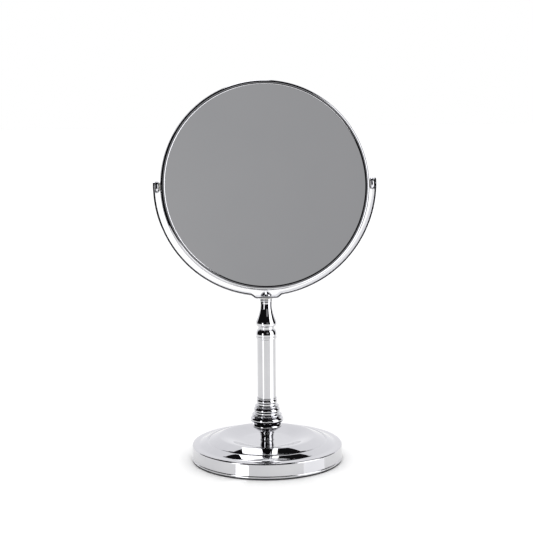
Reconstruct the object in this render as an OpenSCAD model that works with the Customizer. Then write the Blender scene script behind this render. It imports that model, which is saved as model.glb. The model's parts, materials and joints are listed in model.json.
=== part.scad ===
// Two-sided round pedestal mirror.
// A chrome frame holds a plain mirror (front) and a concave magnifying mirror
// (rear). It tilts end over end between the arms of a U-shaped flat-bar yoke,
// which is bolted to a turned column on a weighted round foot.
// Origin: centre of the foot's underside. +Z is up and the plain mirror faces -Y.

/* [Foot] */
// Radius of the foot at its lower edge
foot_r = 76.6; // [70:0.1:80]
// Height of the foot's flat shoulder above the table
shoulder_z = 16; // [14:0.5:18]
// Height of the centre plate, where the neck stands
plate_z = 19.4; // [18:0.1:20]
// Thickness of the dark pad under the foot
pad_t = 1.5; // [1:0.1:2]
// Wall of the pressed steel foot shell
shell_t = 1.0; // [0.8:0.1:1.2]

/* [Column] */
// Outside radius of the plain tube
tube_r = 9.35; // [8.8:0.05:9.4]
// Wall of the plain tube
tube_t = 1.0; // [0.8:0.1:1.5]
// Height of the top of the ribbed collar
collar_top_z = 63.6; // [62:0.1:66]
// Height of the lower edge of the top ferrule
ferrule_z = 123.4; // [115:0.1:135]
// Radius of the tie rod that clamps the column together
rod_r = 3.0; // [2.5:0.1:3]

/* [Yoke] */
// Height of the tilt axis
pivot_z = 277.4; // [276:0.1:280]
// Outside radius of the yoke's arc
yoke_r = 110.7; // [110:0.1:112]
// Thickness of the flat bar
bar_t = 2.0; // [1.8:0.1:2.2]
// Width of the flat bar
bar_w = 12; // [10:0.5:13]
// Half length of the flat seat at the bottom of the yoke
seat_half = 10; // [8:0.5:12]
// Half length of the seat with its two ramps
ramp_half = 16; // [15:0.5:20]

/* [Head] */
// Largest radius of the mirror frame
frame_r = 104; // [103:0.1:104.5]
// Depth of the mirror frame from face to face
frame_d = 15; // [14.6:0.1:16]
// Radius of the glass that shows inside the bezel
sight_r = 99.2; // [98:0.1:99.5]
// Thickness of both glasses
glass_t = 2.0; // [1.8:0.1:2.2]
// Radius of curvature of the magnifying glass
concave_r = 1000; // [950:10:2000]
// Backward tilt of the head as it stands
rest_tilt = 9; // [0:1:20]

/* [Hidden] */
$fn = 128;

run_gap = 0.05;          // radial clearance of a shaft that turns
face_gap = 0.15;         // gap between flat faces that turn on each other
rod_hole_r = rod_r + 0.2;
arc_z = pivot_z + 0.7;   // centre of the yoke's arc
seat_z = 165.1;          // underside of the yoke's seat
rod_low_z = 2.6;
crest_r = 48;            // top of the foot's inner ring
crest_z = shoulder_z + 7.8;
plate_r = 24;            // the plate is flat inside this radius
nut_pocket_z = 10.4;     // ceiling of the pocket that holds the base nut
socket_r = tube_r + 0.05;
collar_low_z = 28;       // joint between neck and ribbed collar
socket_low_z = 44;       // the tube stands here, inside the collar
tube_top_z = ferrule_z + 3.6;

washer_t = 1.2;
lock_t = 1.5;
nut_h = 5.0;
dome_r = 5.65;
dome_h = 4.55;
dome_skirt = 1.2;

pin_r = 2.0;
pin_tip_r = 1.5;
pin_tip_x = 101.8;       // where the pin steps down to its threaded tip
pin_end_x = 97.8;
bead_r = 6.2;
bead_round = 2.0;
bush_r = 3.0;
bush_flange_r = 4.0;
bush_face_x = frame_r + 0.6;
small_nut_x = 98.6;
small_nut_h = 2.4;

lip_z = frame_d / 2 - 1.5;      // the glass face, measured from the frame's mid plane
glass_r = sight_r + 1.7;
glass_seat_r = glass_r + 0.15;  // inside of the bezel round the glass
hoop_in_r = frame_r - 1.9;
hoop_half = 4.5;
bezel_r = frame_r - 0.4;
spacer_in_r = 93;

// Points along an arc, from angle a0 to a1, about (cx, cy).
function arc(cx, cy, rx, ry, a0, a1, n = 8) =
    [for (i = [0:n]) let(a = a0 + (a1 - a0) * i / n) [cx + rx * cos(a), cy + ry * sin(a)]];

// A half-round bead on a turned profile, from z0 up to z1.
function bead(r_in, r_out, z0, z1, n = 10) =
    arc(r_in, (z0 + z1) / 2, r_out - r_in, (z1 - z0) / 2, -90, 90, n);

// Outward normal of a profile at point i, taken from its two neighbours.
function normal(p, i) =
    let(a = p[max(i - 1, 0)], b = p[min(i + 1, len(p) - 1)], d = b - a) [d[1], -d[0]] / norm(d);

function reversed(p) = [for (i = [len(p) - 1:-1:0]) p[i]];

// A thin wall that follows a profile on its inner side.
function wall(p, t) = concat(p, reversed([for (i = [0:len(p) - 1]) p[i] - t * normal(p, i)]));

// Bevel from a to b, bowed upwards by rise at its middle.
function bowed(a, b, rise, n = 4) =
    [for (i = [0:n]) let(s = i / n) a + (b - a) * s + [0, 4 * rise * s * (1 - s)]];
function smooth(t) = let(u = min(max(t, 0), 1)) u * u * (3 - 2 * u);

module cylinder_from(z0, z1, r) {
    translate([0, 0, z0]) cylinder(r = r, h = z1 - z0);
}

module ring(r_out, r_in, h) {
    difference() {
        cylinder(r = r_out, h = h);
        translate([0, 0, -1]) cylinder(r = r_in, h = h + 2);
    }
}

module hex_nut(flats, bore_r, h) {
    difference() {
        cylinder(d = flats / cos(30), h = h, $fn = 6);
        translate([0, 0, -1]) cylinder(r = bore_r, h = h + 2);
    }
}

// Lays a piece drawn along +Z onto the tilt axis, pointing to +X.
module on_pivot() {
    translate([0, 0, pivot_z]) rotate([0, 90, 0]) children();
}

// Stands a piece drawn in the frame's own axes (+Z out of the plain mirror) in the yoke.
module in_yoke() {
    translate([0, 0, pivot_z]) rotate([90 - rest_tilt, 0, 0]) children();
}

// ---------------------------------------------------------------- foot

// Outside of the foot from its rolled lower edge to the hole in the plate: a skirt, a
// flat shoulder, two bevelled steps, and a crest that falls gently to the flat centre.
foot_profile = concat(
    arc(foot_r - 0.9, pad_t + 1.13, 0.9, 1.3, -60, 60, 6),
    arc(foot_r - 2.3, shoulder_z - 1.4, 1.4, 1.4, 0, 80, 6),
    [[67.8, shoulder_z + 0.3]],
    bowed([67.2, shoulder_z + 0.8], [60.9, shoulder_z + 3.6], 0.1, 4),
    arc(59.6, shoulder_z + 3.6, 0.7, 0.4, -20, -160, 4),
    bowed([58.3, shoulder_z + 3.95], [crest_r + 1, crest_z - 0.2], 0.12, 5),
    [for (i = [0:10]) let(r = crest_r + (plate_r - crest_r) * i / 10)
        [r, plate_z + (crest_z - plate_z) * smooth((r - plate_r) / (crest_r - plate_r))]],
    [[rod_hole_r, plate_z]]);

module base_pad() {
    color("dimgray") cylinder(r = foot_r - 0.8, h = pad_t);
}

module base_shell() {
    color("gainsboro") rotate_extrude() polygon(wall(foot_profile, shell_t));
}

module base_weight() {
    boss_r = 16;
    disc_h = 8;
    color("darkslategray") difference() {
        union() {
            translate([0, 0, pad_t]) cylinder(r = foot_r - 3.4, h = disc_h);
            cylinder_from(pad_t, plate_z - shell_t, boss_r);
        }
        translate([0, 0, -1]) cylinder(r = rod_hole_r, h = plate_z + 2);
        translate([0, 0, pad_t - 1]) cylinder(r = 10.5, h = nut_pocket_z - pad_t + 1);
    }
}

module base_washer() {
    color("silver") translate([0, 0, nut_pocket_z - washer_t]) ring(9, rod_hole_r, washer_t);
}

module lock_washer() {
    z = nut_pocket_z - washer_t - lock_t;
    color("silver") translate([0, 0, z]) difference() {
        ring(5.5, rod_r + 0.1, lock_t);
        rotate([0, 0, 30]) translate([0, -0.5, -1]) cube([8, 1, lock_t + 2]);
    }
}

module base_nut() {
    z = nut_pocket_z - washer_t - lock_t - nut_h;
    color("silver") translate([0, 0, z]) hex_nut(10, rod_r, nut_h);
}

// ---------------------------------------------------------------- column

module tie_rod() {
    color("lightsteelblue")
        cylinder_from(rod_low_z, seat_z + bar_t + face_gap + dome_h - 1.4, rod_r);
}

module neck() {
    profile = concat(
        [[rod_hole_r, plate_z], [6.8, plate_z]],
        bead(6.7, 7.0, plate_z, plate_z + 0.9, 6),
        [for (i = [0:8]) let(t = i / 8) [6.5 + 0.9 * t * t, plate_z + 1.6 + 4.6 * t]],
        bead(7.0, 7.7, 26.2, collar_low_z, 8),
        [[rod_hole_r, collar_low_z]]);
    color("gainsboro") rotate_extrude() polygon(profile);
}

// Ribbed collar: a bowl, a band and three rings that shrink upwards, with fine
// reeded bands between the rings.
module beehive_collar() {
    profile = concat(
        [[rod_hole_r, collar_low_z], [7.4, collar_low_z]],
        bowed([8, collar_low_z + 0.4], [13.3, 32.1], -0.3, 6),
        [[13.4, 32.4], [13.9, 32.7]],
        arc(12.9, 34.6, 2.1, 2.1, -60, 40, 6),
        [[15, 37.6], [15.3, 37.9]],
        arc(13.2, 41, 3.4, 3.4, -45, 48, 9),
        arc(14.6, 43.7, 0.6, 0.6, 40, 86, 3),
        bead(14, 15, 44.8, 46.7, 8),
        [[12.2, 47.3]],
        arc(10.2, 50.6, 3, 3, -48, 46, 8),
        arc(11.6, 52.8, 0.55, 0.55, 40, 86, 3),
        bead(11.1, 12.1, 53.8, 55.6, 8),
        [[9.8, 56], [9.8, 57.2]],
        arc(7.05, 59.5, 3.4, 3.4, -36, 39, 7),
        bead(9.7, 10.1, 61.9, 63.2, 6),
        [[9.7, collar_top_z], [socket_r, collar_top_z], [socket_r, socket_low_z],
         [rod_hole_r, socket_low_z]]);
    color("gainsboro") rotate_extrude() polygon(profile);
}

module tube_plug(z0, h) {
    color("ivory") translate([0, 0, z0]) ring(tube_r - tube_t - 0.05, rod_r + 0.05, h);
}

module tube_plug_lower() { tube_plug(socket_low_z, 12); }

module column_tube() {
    color("gainsboro") translate([0, 0, socket_low_z])
        ring(tube_r, tube_r - tube_t, tube_top_z - socket_low_z);
}

module tube_plug_upper() { tube_plug(tube_top_z - 12, 12); }

// Turned ferrule: a flange and bulb, a waist, a flange, then a bell that narrows
// to the collar under the yoke.
module top_ferrule() {
    bell_z0 = ferrule_z + 17.8;
    bell_h = 16.3;
    top_z = seat_z - 0.6 - face_gap;
    profile = concat(
        [[socket_r, ferrule_z]],
        arc(9.5, ferrule_z + 1.3, 0.8, 1.3, -90, 0, 4),
        [[10.3, ferrule_z + 2.4], [10.05, ferrule_z + 2.7]],
        arc(7.2, ferrule_z + 4.9, 3.1, 5.6, -15, 76, 10),
        [[8.0, ferrule_z + 10.9], [8.2, ferrule_z + 12.7]],
        arc(8.9, ferrule_z + 16.2, 1.4, 3.0, -75, 0, 5),
        [[10.3, bell_z0 - 0.7]],
        [for (i = [0:12]) let(t = i / 12) [5.8 + 4.4 * pow(1 - t, 1.7), bell_z0 + bell_h * t]],
        [[5.9, top_z - 4.2], [5.95, top_z - 3.0]],
        bead(5.95, 6.25, top_z - 2.8, top_z - 1.2, 6),
        bead(5.95, 6.25, top_z - 1.2, top_z, 6),
        [[rod_hole_r, top_z], [rod_hole_r, tube_top_z], [socket_r, tube_top_z]]);
    color("gainsboro") rotate_extrude() polygon(profile);
}

module seat_washer() {
    color("ivory") translate([0, 0, seat_z - 0.6 - face_gap]) ring(5.9, rod_r + 0.05, 0.6);
}

module dome_nut() {
    cap_h = dome_h - dome_skirt;
    cap_r = (dome_r * dome_r + cap_h * cap_h) / (2 * cap_h);
    half_angle = asin(dome_r / cap_r);
    profile = concat(
        [[0, 0], [dome_r - 0.3, 0], [dome_r, 0.3]],
        arc(0, dome_h - cap_r, cap_r, cap_r, 90 - half_angle, 90, 10));
    color("gainsboro") translate([0, 0, seat_z + bar_t + face_gap]) difference() {
        rotate_extrude() polygon(profile);
        translate([0, 0, -1]) cylinder(r = rod_r, h = dome_h - 1.4 + 1);
    }
}

// ---------------------------------------------------------------- yoke

// Height at x where an arc at height z dips through a smooth ramp to a flat at flat_z.
function dip(x, z, flat_z) =
    z + (flat_z - z) * (1 - smooth((abs(x) - seat_half) / (ramp_half - seat_half)));

// Left half of one face of the bar: a quarter circle of radius r, then the ramp.
function half_face(r, flat_z, arc_n = 32, ramp_n = 8) = concat(
    [for (i = [0:arc_n - 1]) let(a = acos(ramp_half / r) * i / arc_n) [-r * cos(a), arc_z - r * sin(a)]],
    [for (i = [0:ramp_n]) let(x = -ramp_half + (ramp_half - seat_half) * i / ramp_n)
        [x, dip(x, arc_z - sqrt(r * r - x * x), flat_z)]]);

// The whole face, from the left pivot to the right one.
function bar_face(r, flat_z) =
    let(left = half_face(r, flat_z)) concat(left, [for (q = reversed(left)) [-q[0], q[1]]]);

// Flat bar bent to a half circle, with a flat seat at the bottom and round ends.
module yoke_strap() {
    inner_r = yoke_r - bar_t;
    tip_z = pivot_z + bar_w / 2;
    outline = concat(
        [[-yoke_r, tip_z]], bar_face(yoke_r, seat_z), [[yoke_r, tip_z], [inner_r, tip_z]],
        reversed(bar_face(inner_r, seat_z + bar_t)), [[-inner_r, tip_z]]);
    color("gainsboro") difference() {
        intersection() {
            rotate([90, 0, 0]) linear_extrude(height = bar_w, center = true) polygon(outline);
            union() {
                translate([-150, -bar_w, 100]) cube([300, 2 * bar_w, pivot_z - 100]);
                translate([-150, 0, 0]) on_pivot() cylinder(r = bar_w / 2, h = 300);
            }
        }
        translate([0, 0, seat_z - 5]) cylinder(r = rod_r + run_gap, h = 12);
        for (side = [0, 1]) mirror([side, 0, 0]) on_pivot() {
            translate([0, 0, inner_r - 2]) cylinder(r = pin_r + 0.02, h = bar_t + 4);
            translate([0, 0, yoke_r - 1.2]) cylinder(r1 = pin_r + 0.02, r2 = pin_r + 1.62, h = 1.4);
        }
    }
}

// Shouldered stud: flush rivet head in the arm, journal in the bush, threaded tip.
module pivot_pin(side) {
    head_x = yoke_r - 1.2;
    color("silver") mirror([side, 0, 0]) on_pivot() {
        cylinder_from(pin_end_x, pin_tip_x, pin_tip_r);
        cylinder_from(pin_tip_x, head_x, pin_r);
        translate([0, 0, head_x]) cylinder(r1 = pin_r, r2 = pin_r + 1.3, h = 1.15);
    }
}

module pivot_pin_left() { pivot_pin(1); }
module pivot_pin_right() { pivot_pin(0); }

// Chrome bead that keeps the arm off the frame.
module pivot_bead(side) {
    x0 = bush_face_x + 0.1;
    x1 = yoke_r - bar_t - 0.1;
    corner = bead_r - bead_round;
    profile = concat([[pin_r + 0.02, x0]], arc(corner, x0 + bead_round, bead_round, bead_round, -90, 0, 6),
        arc(corner, x1 - bead_round, bead_round, bead_round, 0, 90, 6), [[pin_r + 0.02, x1]]);
    color("gainsboro") mirror([side, 0, 0]) on_pivot() rotate_extrude() polygon(profile);
}

module pivot_bead_left() { pivot_bead(1); }
module pivot_bead_right() { pivot_bead(0); }

module pivot_washer(side) {
    color("silver") mirror([side, 0, 0]) on_pivot()
        translate([0, 0, small_nut_x + small_nut_h]) ring(3.2, pin_tip_r + 0.05, 0.6);
}

module pivot_washer_left() { pivot_washer(1); }
module pivot_washer_right() { pivot_washer(0); }

module pivot_nut(side) {
    color("silver") mirror([side, 0, 0]) on_pivot()
        translate([0, 0, small_nut_x]) hex_nut(5.5, pin_tip_r, small_nut_h);
}

module pivot_nut_left() { pivot_nut(1); }
module pivot_nut_right() { pivot_nut(0); }

// ---------------------------------------------------------------- head

// Bezel in section: a lip over the glass, a rounded crown and a skirt inside the hoop.
module bezel() {
    crown_z = frame_d / 2;
    profile = concat(
        [[glass_seat_r, lip_z + 0.05], [sight_r, lip_z + 0.05], [sight_r, lip_z + 0.5]],
        arc(sight_r + 2, crown_z - 0.9, 2, 0.9, 165, 90, 5),
        arc(sight_r + 2, hoop_half + 0.05, bezel_r - sight_r - 2, crown_z - hoop_half - 0.05, 90, 0, 10),
        [[hoop_in_r - 0.05, hoop_half + 0.05], [hoop_in_r - 0.05, 3.3], [glass_seat_r, 3.3]]);
    rotate_extrude() polygon(profile);
}

module front_bezel() { color("gainsboro") in_yoke() bezel(); }
module rear_bezel() { color("gainsboro") in_yoke() mirror([0, 0, 1]) bezel(); }

module frame_hoop() {
    profile = concat([[hoop_in_r, -hoop_half], [bezel_r, -hoop_half]],
        arc(bezel_r, 0, frame_r - bezel_r, hoop_half, -90, 90, 8),
        [[bezel_r, hoop_half], [hoop_in_r, hoop_half]]);
    color("gainsboro") in_yoke() difference() {
        rotate_extrude() polygon(profile);
        translate([-150, 0, 0]) rotate([0, 90, 0]) cylinder(r = bush_r, h = 300);
    }
}

module plain_mirror() {
    color("lightblue") in_yoke() cylinder_from(lip_z - glass_t, lip_z, glass_r);
}

// Height of the concave glass above its rim, at radius r.
function sag(r) = (glass_r * glass_r - r * r) / (2 * concave_r);

module magnifying_mirror() {
    steps = 16;
    face = [for (i = [0:steps]) let(r = glass_r * i / steps) [r, -lip_z + sag(r)]];
    back = [for (q = reversed(face)) q + [0, glass_t]];
    color("lightblue") in_yoke() rotate_extrude() polygon(concat(face, back));
}

// Two half rings that keep the glasses apart, open at the pivots. One side follows
// the curve of the magnifying glass.
module glass_spacer() {
    gap = lip_z - glass_t - 0.1;
    out_r = glass_r - 0.2;
    color("dimgray") in_yoke() difference() {
        rotate_extrude() polygon([[spacer_in_r, gap], [out_r, gap], [out_r, -gap + sag(out_r)],
            [spacer_in_r, -gap + sag(spacer_in_r)]]);
        translate([-150, -4.2, -gap - 1]) cube([300, 8.4, 2 * gap + 2]);
    }
}

module foam_disc() {
    z1 = lip_z - glass_t - 0.05;
    color("whitesmoke") in_yoke() cylinder_from(z1 - 1.1, z1, spacer_in_r - 0.5);
}

module pivot_bush(side) {
    profile = [[pin_r + run_gap, hoop_in_r - 0.1], [bush_r - 0.02, hoop_in_r - 0.1],
        [bush_r - 0.02, frame_r], [bush_flange_r, frame_r], [bush_flange_r, bush_face_x],
        [pin_r + run_gap, bush_face_x]];
    color("ivory") mirror([side, 0, 0]) on_pivot() rotate_extrude() polygon(profile);
}

module pivot_bush_left() { pivot_bush(1); }
module pivot_bush_right() { pivot_bush(0); }

// ---------------------------------------------------------------- drawing

base_pad();
base_shell();
base_weight();
base_washer();
lock_washer();
base_nut();
tie_rod();
neck();
beehive_collar();
tube_plug_lower();
column_tube();
tube_plug_upper();
top_ferrule();
seat_washer();
dome_nut();
yoke_strap();
pivot_pin_left();
pivot_pin_right();
pivot_bead_left();
pivot_bead_right();
pivot_washer_left();
pivot_washer_right();
pivot_nut_left();
pivot_nut_right();
front_bezel();
frame_hoop();
rear_bezel();
plain_mirror();
magnifying_mirror();
glass_spacer();
foam_disc();
pivot_bush_left();
pivot_bush_right();
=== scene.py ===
"""Looks for the round pedestal mirror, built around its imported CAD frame.

The chrome parts are turned again as smooth meshes, because a polished surface shows every
facet. Lengths in the profiles are millimetres; everything handed to Blender is metres.
"""

import json
import math

import bmesh
import bpy
from mathutils import Matrix, Vector


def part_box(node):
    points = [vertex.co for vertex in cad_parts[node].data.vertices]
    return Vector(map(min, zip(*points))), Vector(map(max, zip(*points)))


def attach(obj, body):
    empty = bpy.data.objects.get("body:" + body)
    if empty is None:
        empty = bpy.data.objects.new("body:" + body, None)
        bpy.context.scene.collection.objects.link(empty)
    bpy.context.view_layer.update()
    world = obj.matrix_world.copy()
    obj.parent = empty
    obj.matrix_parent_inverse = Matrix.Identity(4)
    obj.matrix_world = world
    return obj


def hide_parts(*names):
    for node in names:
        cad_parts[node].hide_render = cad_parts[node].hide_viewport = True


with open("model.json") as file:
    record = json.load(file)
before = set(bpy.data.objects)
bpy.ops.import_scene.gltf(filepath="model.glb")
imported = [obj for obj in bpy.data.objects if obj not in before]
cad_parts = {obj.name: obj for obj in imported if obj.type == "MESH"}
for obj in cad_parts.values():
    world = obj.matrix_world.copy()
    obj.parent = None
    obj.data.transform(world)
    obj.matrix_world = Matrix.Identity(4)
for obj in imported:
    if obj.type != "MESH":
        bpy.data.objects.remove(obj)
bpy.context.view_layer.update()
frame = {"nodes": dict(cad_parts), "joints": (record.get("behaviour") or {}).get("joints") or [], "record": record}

MM = 0.001
REST_TILT = 9.0           # degrees, backwards
CAMERA_AZIMUTH = -7.0     # degrees, the camera stands a little to the left
JOINTS = {j["name"]: j for j in frame["joints"]}
PIVOT = Vector(JOINTS["head_tilt"]["pos_m"])


# ---------------------------------------------------------------- measures from the frame

def low(node, axis=2):
    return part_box(node)[0][axis] / MM


def high(node, axis=2):
    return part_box(node)[1][axis] / MM


PIVOT_Z = PIVOT.z / MM
PAD_T = high("base_pad")
FOOT_R = high("base_shell", 0)
PLATE_Z = low("neck")
COLLAR_Z = low("beehive_collar")
COLLAR_TOP = high("beehive_collar")
SOCKET_Z = low("column_tube")
TUBE_TOP = high("column_tube")
TUBE_R = high("column_tube", 0)
FERRULE_Z = low("top_ferrule")
FERRULE_TOP = high("top_ferrule")
ROD_R = high("tie_rod", 0)
SEAT_Z = low("yoke_strap")
YOKE_R = high("yoke_strap", 0)
BAR_HALF = high("yoke_strap", 1)
NUT_Z = low("dome_nut")
FRAME_R = high("frame_hoop", 0)
BEZEL_R = high("front_bezel", 0)
GLASS_R = high("plain_mirror", 0)

BORE_R = ROD_R + 0.2
SOCKET_R = TUBE_R + 0.05
BAR_T = 2.0
SHOULDER_Z = 16.0
SHELL_T = 1.0
SEAT_HALF = 10.0
RAMP_HALF = 16.0
ARC_RISE = 0.7
CREST_R = 48.0
CREST_Z = SHOULDER_Z + 7.8
PLATE_R = 24.0
SIGHT_R = GLASS_R - 1.7
GLASS_SEAT_R = GLASS_R + 0.15
CROWN_Z = 7.5
LIP_Z = CROWN_Z - 1.5
GLASS_T = 2.0
HOOP_IN_R = FRAME_R - 1.9
HOOP_HALF = 4.5
BEZEL_SKIRT_Z = 3.3        # where the bezels end inside the hoop
CONCAVE_R = 1000.0


# ---------------------------------------------------------------- mesh helpers

def arc(cx, cy, rx, ry, a0, a1, n=18):
    steps = [math.radians(a0 + (a1 - a0) * i / n) for i in range(n + 1)]
    return [(cx + rx * math.cos(a), cy + ry * math.sin(a)) for a in steps]


def bead(r_in, r_out, z0, z1, n=12):
    """Half-round bead on a turned profile, from z0 up to z1."""
    return arc(r_in, (z0 + z1) / 2, r_out - r_in, (z1 - z0) / 2, -90, 90, n)


def bowed(a, b, rise, n=14):
    """Bevel from a to b, bowed upwards by rise at its middle."""
    steps = [i / n for i in range(n + 1)]
    return [(a[0] + (b[0] - a[0]) * s, a[1] + (b[1] - a[1]) * s + 4 * rise * s * (1 - s)) for s in steps]


def smooth(t):
    u = min(max(t, 0.0), 1.0)
    return u * u * (3 - 2 * u)


def offset(path, t):
    """The path moved t to its left-hand side, point by point."""
    moved = []
    for i, (x, y) in enumerate(path):
        ax, ay = path[max(i - 1, 0)]
        bx, by = path[min(i + 1, len(path) - 1)]
        length = math.hypot(bx - ax, by - ay) or 1.0
        moved.append((x - t * (by - ay) / length, y + t * (bx - ax) / length))
    return moved


def finish_mesh(name, verts, faces, place=None, crease=32.0):
    mesh = bpy.data.meshes.new(name)
    mesh.from_pydata([tuple(c * MM for c in v) for v in verts], [], faces)
    bm = bmesh.new()
    bm.from_mesh(mesh)
    bmesh.ops.recalc_face_normals(bm, faces=bm.faces)
    bm.to_mesh(mesh)
    bm.free()
    if place is not None:
        mesh.transform(place)
    mesh.shade_smooth()
    mesh.set_sharp_from_angle(angle=math.radians(crease))
    made = bpy.data.objects.new(name, mesh)
    bpy.context.scene.collection.objects.link(made)
    return made


def lathe(name, loop, place=None, turns=160, crease=32.0):
    """Turns a closed loop of (radius, height) points round +Z."""
    verts, rings = [], []
    for r, h in loop:
        start = len(verts)
        if r < 1e-6:
            verts.append((0.0, 0.0, h))
            rings.append([start] * turns)
            continue
        for k in range(turns):
            a = 2 * math.pi * k / turns
            verts.append((r * math.cos(a), r * math.sin(a), h))
        rings.append(list(range(start, start + turns)))
    faces = []
    for i, ring in enumerate(rings):
        after = rings[(i + 1) % len(rings)]
        for k in range(turns):
            m = (k + 1) % turns
            corners = [ring[k], ring[m], after[m], after[k]]
            face = [c for j, c in enumerate(corners) if c not in corners[:j]]
            if len(face) > 2:
                faces.append(face)
    return finish_mesh(name, verts, faces, place, crease)


def carve(piece, cutters, crease=32.0):
    """Cuts the cutters out of the piece and deletes them."""
    for cutter in cutters:
        cut = piece.modifiers.new("cut", "BOOLEAN")
        cut.operation = "DIFFERENCE"
        cut.solver = "EXACT"
        cut.object = cutter
    bpy.context.view_layer.update()
    evaluated = piece.evaluated_get(bpy.context.evaluated_depsgraph_get())
    mesh = bpy.data.meshes.new_from_object(evaluated)
    piece.modifiers.clear()
    piece.data = mesh
    mesh.shade_smooth()
    mesh.set_sharp_from_angle(angle=math.radians(crease))
    for cutter in cutters:
        bpy.data.objects.remove(cutter)


def on_pivot(side):
    """Lays +Z on the tilt axis, pointing outwards on the left (-1) or the right (1)."""
    return Matrix.Translation(PIVOT) @ Matrix.Rotation(math.radians(90 * side), 4, "Y")


IN_YOKE = Matrix.Translation(PIVOT) @ Matrix.Rotation(math.radians(90 - REST_TILT), 4, "X")
FLIP = Matrix.Rotation(math.pi, 4, "X")


# ---------------------------------------------------------------- procedural materials

def node_material(name):
    mat = bpy.data.materials.new(name)
    mat.use_nodes = True
    nodes = mat.node_tree.nodes
    return mat, nodes, mat.node_tree.links, nodes["Principled BSDF"]


def noise(nodes, links, coords, scale, detail=3.0, roughness=0.5):
    tex = nodes.new("ShaderNodeTexNoise")
    tex.inputs["Scale"].default_value = scale
    tex.inputs["Detail"].default_value = detail
    tex.inputs["Roughness"].default_value = roughness
    links.new(coords, tex.inputs["Vector"])
    return tex.outputs["Fac"]


def mapped(nodes, links, value, low_out, high_out, low_in=0.35, high_in=0.65):
    ranged = nodes.new("ShaderNodeMapRange")
    ranged.inputs["From Min"].default_value = low_in
    ranged.inputs["From Max"].default_value = high_in
    ranged.inputs["To Min"].default_value = low_out
    ranged.inputs["To Max"].default_value = high_out
    links.new(value, ranged.inputs["Value"])
    return ranged.outputs["Result"]


def two_tone(nodes, links, value, dark, light):
    mix = nodes.new("ShaderNodeMix")
    mix.data_type = "RGBA"
    mix.inputs[6].default_value = (*dark, 1)
    mix.inputs[7].default_value = (*light, 1)
    links.new(value, mix.inputs[0])
    return mix.outputs[2]


def bumped(nodes, links, shader, height, strength, distance):
    bump = nodes.new("ShaderNodeBump")
    bump.inputs["Strength"].default_value = strength
    bump.inputs["Distance"].default_value = distance
    links.new(height, bump.inputs["Height"])
    links.new(bump.outputs["Normal"], shader.inputs["Normal"])


def surface(name, dark, light, rough, metallic=0.0, tone_scale=60.0, rough_scale=90.0,
            bump_scale=None, bump_strength=0.1, bump_distance=0.0001):
    """A material whose tone, roughness and relief all vary with noise in object space."""
    mat, nodes, links, shader = node_material(name)
    coords = nodes.new("ShaderNodeTexCoord").outputs["Object"]
    tone = mapped(nodes, links, noise(nodes, links, coords, tone_scale), 0, 1)
    links.new(two_tone(nodes, links, tone, dark, light), shader.inputs["Base Color"])
    patch = noise(nodes, links, coords, rough_scale, 4.0)
    links.new(mapped(nodes, links, patch, *rough), shader.inputs["Roughness"])
    shader.inputs["Metallic"].default_value = metallic
    if bump_scale:
        height = noise(nodes, links, coords, bump_scale, 4.0)
        bumped(nodes, links, shader, height, bump_strength, bump_distance)
    return mat


CHROME = surface("polished_chrome", (0.57, 0.57, 0.588), (0.61, 0.61, 0.625), (0.012, 0.035),
                 metallic=1.0, tone_scale=25, rough_scale=45)
SILVERED = surface("silvered_glass", (0.86, 0.865, 0.87), (0.89, 0.892, 0.895), (0.0, 0.012),
                   metallic=1.0, tone_scale=8, rough_scale=14)
STEEL = surface("zinc_plated_steel", (0.50, 0.50, 0.50), (0.68, 0.68, 0.66), (0.22, 0.38),
                metallic=1.0, tone_scale=350, rough_scale=600, bump_scale=1800,
                bump_strength=0.15, bump_distance=0.00003)
IRON = surface("painted_cast_iron", (0.030, 0.030, 0.032), (0.060, 0.060, 0.063), (0.5, 0.8),
               metallic=0.0, tone_scale=180, rough_scale=240, bump_scale=900,
               bump_strength=0.6, bump_distance=0.0003)
NYLON = surface("natural_nylon", (0.72, 0.70, 0.64), (0.80, 0.79, 0.74), (0.35, 0.5),
                tone_scale=260, rough_scale=400, bump_scale=1600,
                bump_strength=0.12, bump_distance=0.00003)
BLACK_PLASTIC = surface("black_moulding", (0.018, 0.018, 0.02), (0.032, 0.032, 0.034),
                        (0.4, 0.55), tone_scale=220, rough_scale=380, bump_scale=2400,
                        bump_strength=0.2, bump_distance=0.00004)
FOAM = surface("foam_sheet", (0.60, 0.60, 0.57), (0.72, 0.72, 0.70), (0.85, 0.98),
               tone_scale=700, rough_scale=500, bump_scale=1500,
               bump_strength=0.7, bump_distance=0.0003)
PAD = surface("non_slip_pad", (0.020, 0.020, 0.023), (0.034, 0.034, 0.038), (0.75, 0.92),
              tone_scale=420, rough_scale=300, bump_scale=2600,
              bump_strength=0.5, bump_distance=0.00012)

FINISHES = {"chrome": CHROME, "mirror": SILVERED, "steel": STEEL, "iron": IRON,
            "nylon": NYLON, "black_plastic": BLACK_PLASTIC, "foam": FOAM, "pad": PAD}
SLOT_OF = {s["node"]: s["material_slot"] for s in frame["record"]["subparts"]}


def settle(piece, body, *nodes):
    """Gives a piece the finish of its CAD node's material slot, parents it to its body and hides the CAD nodes it
    stands for.
    """
    slot = SLOT_OF[nodes[0]]
    piece.data.materials.clear()
    piece.data.materials.append(FINISHES[slot])
    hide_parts(*nodes)
    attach(piece, body)
    return piece


# ---------------------------------------------------------------- foot

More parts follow.
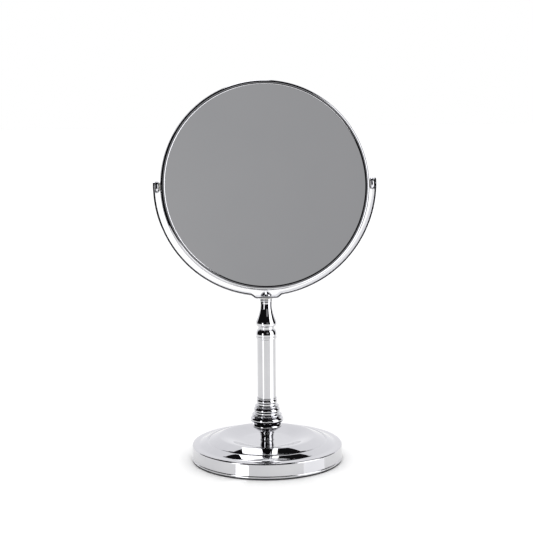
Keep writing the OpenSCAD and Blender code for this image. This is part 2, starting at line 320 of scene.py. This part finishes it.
def foot_skin():
    """Outside of the foot, from its rolled lower edge to the hole in the plate."""
    return (
        arc(FOOT_R - 0.9, PAD_T + 1.13, 0.9, 1.3, -60, 60, 14)
        + arc(FOOT_R - 2.3, SHOULDER_Z - 1.4, 1.4, 1.4, 0, 80, 14)
        + [(70.9, SHOULDER_Z + 0.14), (67.8, SHOULDER_Z + 0.3)]
        + bowed((67.2, SHOULDER_Z + 0.8), (60.9, SHOULDER_Z + 3.6), 0.1)
        + arc(59.6, SHOULDER_Z + 3.6, 0.7, 0.4, -20, -160, 12)
        + bowed((58.3, SHOULDER_Z + 3.95), (CREST_R + 1, CREST_Z - 0.2), 0.12)
        + [(r, PLATE_Z + (CREST_Z - PLATE_Z) * smooth((r - PLATE_R) / (CREST_R - PLATE_R)))
           for r in [CREST_R + (PLATE_R - CREST_R) * i / 28 for i in range(29)]]
        + [(14, PLATE_Z), (BORE_R, PLATE_Z)]
    )


def wall(skin, t):
    return skin + offset(skin, t)[::-1]


settle(lathe("foot_shell", wall(foot_skin(), SHELL_T), turns=224, crease=40), "stand", "base_shell")

PAD_R = high("base_pad", 0)
PAD_EDGE = 0.35
pad_loop = (
    [(0, 0)]
    + arc(PAD_R - PAD_EDGE, PAD_EDGE, PAD_EDGE, PAD_EDGE, -90, 0, 6)
    + arc(PAD_R - PAD_EDGE, PAD_T - PAD_EDGE, PAD_EDGE, PAD_EDGE, 0, 90, 6)
    + [(0, PAD_T)]
)
settle(lathe("foot_pad", pad_loop, turns=192), "stand", "base_pad")


# ---------------------------------------------------------------- column

NECK_BEAD_Z = 26.2
neck_loop = (
    [(BORE_R, PLATE_Z), (6.8, PLATE_Z)]
    + bead(6.7, 7.0, PLATE_Z, PLATE_Z + 0.9)
    + [(6.5 + 0.9 * (i / 24) ** 2, PLATE_Z + 1.6 + 4.6 * i / 24) for i in range(25)]
    + bead(7.0, 7.7, NECK_BEAD_Z, COLLAR_Z, 16)
    + [(BORE_R, COLLAR_Z)]
)
settle(lathe("turned_neck", neck_loop, turns=96), "stand", "neck")

collar_loop = (
    [(BORE_R, COLLAR_Z), (7.4, COLLAR_Z)]
    + bowed((8, COLLAR_Z + 0.4), (13.3, 32.1), -0.3, 20)
    + [(13.4, 32.4), (13.9, 32.7)]
    + arc(12.9, 34.6, 2.1, 2.1, -60, 40, 18)
    + [(15, 37.6), (15.3, 37.9)]
    + arc(13.2, 41, 3.4, 3.4, -45, 48, 30)
    + arc(14.6, 43.7, 0.6, 0.6, 40, 86, 8)
    + bead(14, 15, 44.8, 46.7, 20)
    + [(12.2, 47.3)]
    + arc(10.2, 50.6, 3, 3, -48, 46, 28)
    + arc(11.6, 52.8, 0.55, 0.55, 40, 86, 8)
    + bead(11.1, 12.1, 53.8, 55.6, 20)
    + [(9.8, 56), (9.8, 57.2)]
    + arc(7.05, 59.5, 3.4, 3.4, -36, 39, 24)
    + bead(9.7, 10.1, 61.9, 63.2, 14)
    + [(9.7, COLLAR_TOP), (SOCKET_R, COLLAR_TOP)]
    + [(SOCKET_R, SOCKET_Z), (BORE_R, SOCKET_Z)]
)
settle(lathe("ribbed_collar", collar_loop, turns=128), "stand", "beehive_collar")

TUBE_IN_R = TUBE_R - 1.0
tube_loop = [(TUBE_R, SOCKET_Z), (TUBE_R, TUBE_TOP), (TUBE_IN_R, TUBE_TOP), (TUBE_IN_R, SOCKET_Z)]
settle(lathe("plain_tube", tube_loop, turns=128), "stand", "column_tube")

BELL_Z = FERRULE_Z + 17.8
BELL_H = 16.3
ferrule_loop = (
    [(SOCKET_R, FERRULE_Z)]
    + arc(9.5, FERRULE_Z + 1.3, 0.8, 1.3, -90, 0, 12)
    + [(10.3, FERRULE_Z + 2.4), (10.05, FERRULE_Z + 2.7)]
    + arc(7.2, FERRULE_Z + 4.9, 3.1, 5.6, -15, 76, 28)
    + [(8.0, FERRULE_Z + 10.9), (8.2, FERRULE_Z + 12.7)]
    + arc(8.9, FERRULE_Z + 16.2, 1.4, 3.0, -75, 0, 16)
    + [(10.3, BELL_Z - 0.7)]
    + [(5.8 + 4.4 * (1 - i / 40) ** 1.7, BELL_Z + BELL_H * i / 40) for i in range(41)]
    + [(5.9, FERRULE_TOP - 4.2), (5.95, FERRULE_TOP - 3.0)]
    + bead(5.95, 6.25, FERRULE_TOP - 2.8, FERRULE_TOP - 1.2)
    + bead(5.95, 6.25, FERRULE_TOP - 1.2, FERRULE_TOP)
    + [(BORE_R, FERRULE_TOP), (BORE_R, TUBE_TOP), (SOCKET_R, TUBE_TOP)]
)
settle(lathe("bell_ferrule", ferrule_loop, turns=128), "stand", "top_ferrule")

DOME_R = high("dome_nut", 0)
DOME_H = high("dome_nut") - NUT_Z
CAP_H = DOME_H - 1.2
CAP_R = (DOME_R ** 2 + CAP_H ** 2) / (2 * CAP_H)
HALF_ANGLE = math.degrees(math.asin(DOME_R / CAP_R))
dome_loop = (
    [(ROD_R, NUT_Z), (DOME_R - 0.3, NUT_Z), (DOME_R, NUT_Z + 0.3)]
    + arc(0, NUT_Z + DOME_H - CAP_R, CAP_R, CAP_R, 90 - HALF_ANGLE, 90, 30)
    + [(0, high("tie_rod")), (ROD_R, high("tie_rod"))]
)
settle(lathe("cap_nut", dome_loop, turns=96), "stand", "dome_nut")


# ---------------------------------------------------------------- yoke

def yoke_path():
    """Middle line of the bent bar in the XZ plane, from the left tip to the right one,
    with the half width of the bar at each point."""
    radius = YOKE_R - BAR_T / 2
    flat_z = SEAT_Z + BAR_T / 2
    arc_z = PIVOT_Z + ARC_RISE
    left = []
    for i in range(17):
        rise = BAR_HALF * math.cos(math.radians(90 * i / 16))
        left.append((-radius, PIVOT_Z + rise, math.sqrt(max(BAR_HALF ** 2 - rise ** 2, 0.01))))
    sweep = math.acos(RAMP_HALF / radius)
    for i in range(1, 97):
        a = sweep * i / 96
        left.append((-radius * math.cos(a), arc_z - radius * math.sin(a), BAR_HALF))
    for i in range(1, 25):
        x = -RAMP_HALF + (RAMP_HALF - SEAT_HALF) * i / 24
        z = arc_z - math.sqrt(radius ** 2 - x ** 2)
        share = smooth((abs(x) - SEAT_HALF) / (RAMP_HALF - SEAT_HALF))
        left.append((x, z + (flat_z - z) * (1 - share), BAR_HALF))
    for i in range(1, 7):
        left.append((-SEAT_HALF * (1 - i / 6), flat_z, BAR_HALF))
    return left + [(-x, z, w) for x, z, w in left[-2::-1]]


def bar_section(corner=0.45, n=5):
    """Rounded rectangle as (share of half width, distance through the bar)."""
    half_t = BAR_T / 2
    points = []
    for sy, st, start in ((1, 1, 0), (-1, 1, 90), (-1, -1, 180), (1, -1, 270)):
        cx, cy = sy * (BAR_HALF - corner), st * (half_t - corner)
        points += arc(cx, cy, corner, corner, start, start + 90, n)
    return [(y / BAR_HALF, t) for y, t in points]


def sweep_bar(name):
    path = yoke_path()
    section = bar_section()
    verts, faces = [], []
    for i, (x, z, w) in enumerate(path):
        before, after = path[max(i - 1, 0)], path[min(i + 1, len(path) - 1)]
        tx, tz = after[0] - before[0], after[1] - before[1]
        length = math.hypot(tx, tz)
        nx, nz = -tz / length, tx / length
        verts += [(x + nx * t, y * w, z + nz * t) for y, t in section]
    count = len(section)
    for i in range(len(path) - 1):
        for k in range(count):
            m = (k + 1) % count
            a, b = i * count, (i + 1) * count
            faces.append((a + k, a + m, b + m, b + k))
    faces.append(list(range(count)))
    faces.append(list(range(len(verts) - count, len(verts))))
    return finish_mesh(name, verts, faces, crease=40)


PIN_R = 2.0
PIN_HOLE_R = PIN_R + 0.02
SINK_R = PIN_R + 1.62
yoke = sweep_bar("yoke_bar")
countersink = [(0, YOKE_R - 5), (PIN_HOLE_R, YOKE_R - 5), (PIN_HOLE_R, YOKE_R - 1.2),
               (SINK_R, YOKE_R + 0.2), (SINK_R, YOKE_R + 2), (0, YOKE_R + 2)]
cutters = [lathe("cut_pivot", countersink, on_pivot(side), turns=64) for side in (-1, 1)]
SEAT_HOLE_R = ROD_R + 0.05
rod_cut = [(0, SEAT_Z - 5), (SEAT_HOLE_R, SEAT_Z - 5), (SEAT_HOLE_R, SEAT_Z + 7), (0, SEAT_Z + 7)]
cutters.append(lathe("cut_rod", rod_cut, turns=64))
carve(yoke, cutters, 40)
settle(yoke, "yoke", "yoke_strap")

BEAD_ROUND = 2.0
for side, word in ((-1, "left"), (1, "right")):
    node = "pivot_bead_" + word
    x0 = low(node, 0) if side > 0 else -high(node, 0)
    x1 = high(node, 0) if side > 0 else -low(node, 0)
    bead_r = high(node, 1)
    corner = bead_r - BEAD_ROUND
    bead_loop = (
        [(PIN_HOLE_R, x0)]
        + arc(corner, x0 + BEAD_ROUND, BEAD_ROUND, BEAD_ROUND, -90, 0, 14)
        + arc(corner, x1 - BEAD_ROUND, BEAD_ROUND, BEAD_ROUND, 0, 90, 14)
        + [(PIN_HOLE_R, x1)]
    )
    settle(lathe("spacer_bead_" + word, bead_loop, on_pivot(side), turns=72), "yoke", node)


# ---------------------------------------------------------------- head

def bezel_loop():
    rim = SIGHT_R + 2
    return (
        [(GLASS_SEAT_R, LIP_Z + 0.05), (SIGHT_R, LIP_Z + 0.05), (SIGHT_R, LIP_Z + 0.5)]
        + arc(rim, CROWN_Z - 0.9, 2, 0.9, 165, 90, 14)
        + arc(rim, HOOP_HALF + 0.05, BEZEL_R - rim, CROWN_Z - HOOP_HALF - 0.05, 90, 0, 24)[1:]
        + [(HOOP_IN_R - 0.05, HOOP_HALF + 0.05), (HOOP_IN_R - 0.05, BEZEL_SKIRT_Z),
           (GLASS_SEAT_R, BEZEL_SKIRT_Z)]
    )


settle(lathe("bezel_front", bezel_loop(), IN_YOKE, turns=256), "head", "front_bezel")
settle(lathe("bezel_rear", bezel_loop(), IN_YOKE @ FLIP, turns=256), "head", "rear_bezel")

hoop_loop = (
    [(HOOP_IN_R, -HOOP_HALF), (BEZEL_R, -HOOP_HALF)]
    + arc(BEZEL_R, 0, FRAME_R - BEZEL_R, HOOP_HALF, -90, 90, 24)[1:-1]
    + [(BEZEL_R, HOOP_HALF), (HOOP_IN_R, HOOP_HALF)]
)
hoop = lathe("rim_hoop", hoop_loop, IN_YOKE, turns=256)
BUSH_HOLE_R = 3.0
bush_cut = [(0, 95), (BUSH_HOLE_R, 95), (BUSH_HOLE_R, 110), (0, 110)]
carve(hoop, [lathe("cut_bush", bush_cut, on_pivot(side), turns=48) for side in (-1, 1)])
settle(hoop, "head", "frame_hoop")

GLASS_BEVEL = 0.5
plain_loop = [
    (0, LIP_Z - GLASS_T), (GLASS_R, LIP_Z - GLASS_T), (GLASS_R, LIP_Z - GLASS_BEVEL),
    (GLASS_R - GLASS_BEVEL, LIP_Z), (0, LIP_Z),
]
settle(lathe("plain_glass", plain_loop, IN_YOKE, turns=256), "head", "plain_mirror")

concave = []
for i in range(49):
    r = GLASS_R * i / 48
    concave.append((r, -LIP_Z + (GLASS_R ** 2 - r ** 2) / (2 * CONCAVE_R)))
concave += [(r, z + GLASS_T) for r, z in concave[::-1]]
settle(lathe("concave_glass", concave, IN_YOKE, turns=256), "head", "magnifying_mirror")

for name, cad in frame["nodes"].items():
    if not cad.hide_render:
        cad.data.materials.clear()
        cad.data.materials.append(FINISHES[SLOT_OF[name]])


# ---------------------------------------------------------------- studio

def emitter(name, near, far=None, axis=0, centre=0.0, reach=1.0):
    """Card material: one brightness, or two that blend along an axis of the card."""
    mat = bpy.data.materials.new(name)
    mat.use_nodes = True
    nodes, links = mat.node_tree.nodes, mat.node_tree.links
    nodes.clear()
    glow = nodes.new("ShaderNodeEmission")
    glow.inputs["Color"].default_value = (*near, 1)
    out = nodes.new("ShaderNodeOutputMaterial")
    links.new(glow.outputs["Emission"], out.inputs["Surface"])
    if far is not None:
        split = nodes.new("ShaderNodeSeparateXYZ")
        links.new(nodes.new("ShaderNodeTexCoord").outputs["Object"], split.inputs[0])
        share = mapped(nodes, links, split.outputs[axis], 0, 1, centre - reach, centre + reach)
        links.new(two_tone(nodes, links, share, near, far), glow.inputs["Color"])
    return mat


def only_reflected(card):
    """A card shows in polished surfaces, and neither lights the floor nor hides the view."""
    card.visible_camera = False
    card.visible_diffuse = False
    card.visible_shadow = False
    card.visible_transmission = False
    return card


def grid_card(name, point, rows, columns, mat):
    verts = [point(i / rows, k / columns) for i in range(rows + 1) for k in range(columns + 1)]
    faces = []
    for i in range(rows):
        for k in range(columns):
            a = i * (columns + 1) + k
            faces.append((a, a + 1, a + columns + 2, a + columns + 1))
    mesh = bpy.data.meshes.new(name)
    mesh.from_pydata(verts, [], faces)
    mesh.materials.append(mat)
    made = bpy.data.objects.new(name, mesh)
    bpy.context.scene.collection.objects.link(made)
    return only_reflected(made)


CARD_CENTRE_Z = 0.1
FLOOR_CARD_Z = 0.001     # just above the floor


def towards(azimuth, elevation):
    """Unit vector seen from the object; azimuth 0 points at the camera, positive to its right."""
    a = math.radians(azimuth + CAMERA_AZIMUTH)
    e = math.radians(elevation)
    return Vector((math.sin(a) * math.cos(e), -math.cos(a) * math.cos(e), math.sin(e)))


def wall_card(name, az, el, radius, mat):
    def point(i, k):
        spot = towards(az[0] + (az[1] - az[0]) * k, el[0] + (el[1] - el[0]) * i) * radius
        return tuple(spot + Vector((0, 0, CARD_CENTRE_Z)))
    return grid_card(name, point, 12, 24, mat)


def floor_card(name, az, reach, height, mat):
    def point(i, k):
        spot = towards(az[0] + (az[1] - az[0]) * k, 0) * (reach[0] + (reach[1] - reach[0]) * i)
        return (spot.x, spot.y, height)
    return grid_card(name, point, 4, 24, mat)


def roof_card(name, across, along, height, mat):
    """Level panel overhead; across runs to the camera's right and along away from it."""
    turn = Matrix.Rotation(math.radians(CAMERA_AZIMUTH), 3, "Z")

    def point(i, k):
        x = across[0] + (across[1] - across[0]) * k
        y = along[0] + (along[1] - along[0]) * i
        return tuple(turn @ Vector((x, y, height)))
    return grid_card(name, point, 6, 6, mat)


def skirt_card(name, az, length, mat):
    """Strip on the floor at the foot; its reflection stands upright on the foot's skirt."""
    def point(i, k):
        a = az[0] + (az[1] - az[0]) * k
        spot = towards(a, 0) * (FOOT_R + 0.5) * MM + towards(2 * a, 0) * length * i
        return (spot.x, spot.y, FLOOR_CARD_Z)
    return grid_card(name, point, 4, 12, mat)


BLACK = emitter("dark_room", (0.008, 0.008, 0.009))
WHITE = emitter("soft_box", (2.6, 2.6, 2.65))
SOFT = emitter("soft_glow", (1.35, 1.35, 1.37))
BACK = emitter("bright_paper", (1.05, 1.05, 1.08))
GREY = emitter("grey_card", (0.375, 0.375, 0.385), (0.325, 0.325, 0.335), 0, 0.15, 0.4)

wall_card("room_front", (-122, 122), (-3, 44), 4.0, BLACK)
wall_card("room_roof", (-180, 180), (44, 90), 4.0, BLACK)
floor_card("room_floor", (-122, 122), (0.68, 4.0), FLOOR_CARD_Z / 2, BLACK)
wall_card("paper_back", (122, 238), (0, 49), 3.9, BACK)
roof_card("box_top", (-0.58, 0.23), (0.35, 1.85), 2.1, WHITE)
wall_card("box_right", (46, 86), (-2, 50), 3.2, WHITE)
floor_card("box_right_foot", (46, 86), (0.14, 3.2), FLOOR_CARD_Z, WHITE)
skirt_card("skirt_right", (28, 48), 0.06, SOFT)
wall_card("strip_left", (-47, -35), (-22, 18), 0.26, WHITE)
floor_card("strip_left_foot", (-47, -35), (0.14, 0.26), FLOOR_CARD_Z, WHITE)
skirt_card("skirt_left", (-24, -14), 0.06, WHITE)
wall_card("glass_card", (4, 27), (7, 27), 2.5, GREY)

floor_mesh = bpy.data.meshes.new("floor")
SIDE = 8.0
FLOOR_Z = -0.0003
corners = [(-SIDE, -SIDE, FLOOR_Z), (SIDE, -SIDE, FLOOR_Z), (SIDE, SIDE, FLOOR_Z), (-SIDE, SIDE, FLOOR_Z)]
floor_mesh.from_pydata(corners, [], [(0, 1, 2, 3)])
floor = bpy.data.objects.new("floor", floor_mesh)
bpy.context.scene.collection.objects.link(floor)
floor_mesh.materials.append(surface("pale_floor", (0.93, 0.93, 0.93), (0.95, 0.95, 0.95),
                                    (0.7, 0.8), tone_scale=2, rough_scale=3))

world = bpy.data.worlds.new("studio")
bpy.context.scene.world = world
world.use_nodes = True
background = world.node_tree.nodes["Background"]
background.inputs["Color"].default_value = (1, 1, 1, 1)
background.inputs["Strength"].default_value = 1.0

top = bpy.data.lights.new("overhead", "SUN")
top.angle = math.radians(120)
top.energy = 0.6
overhead = bpy.data.objects.new("overhead", top)
overhead.location = (0, 0, 2.4)
overhead.visible_glossy = False
bpy.context.scene.collection.objects.link(overhead)

view = bpy.context.scene.view_settings
view.view_transform = "Standard"
view.look = "None"


# ---------------------------------------------------------------- camera

CAMERA_REACH = 1.300
CAMERA_HEIGHT = 0.3876
CAMERA_PITCH = -8.367
CAMERA_ROLL = -0.43       # degrees
CAMERA_TURN = -0.028      # degrees, heading beyond the column
LENS = 89.16

lens = bpy.data.cameras.new("camera")
lens.lens = LENS
lens.sensor_width = 36
lens.clip_start = 0.05
lens.clip_end = 50
camera = bpy.data.objects.new("camera", lens)
spot = towards(0, 0) * CAMERA_REACH
camera.location = (spot.x, spot.y, CAMERA_HEIGHT)
heading = Matrix.Rotation(math.radians(CAMERA_AZIMUTH + CAMERA_TURN), 3, "Z")
tilt = Matrix.Rotation(math.radians(90 + CAMERA_PITCH), 3, "X")
roll = Matrix.Rotation(math.radians(CAMERA_ROLL), 3, "Z")
camera.rotation_euler = (heading @ tilt @ roll).to_euler()
bpy.context.scene.collection.objects.link(camera)
bpy.context.scene.camera = camera
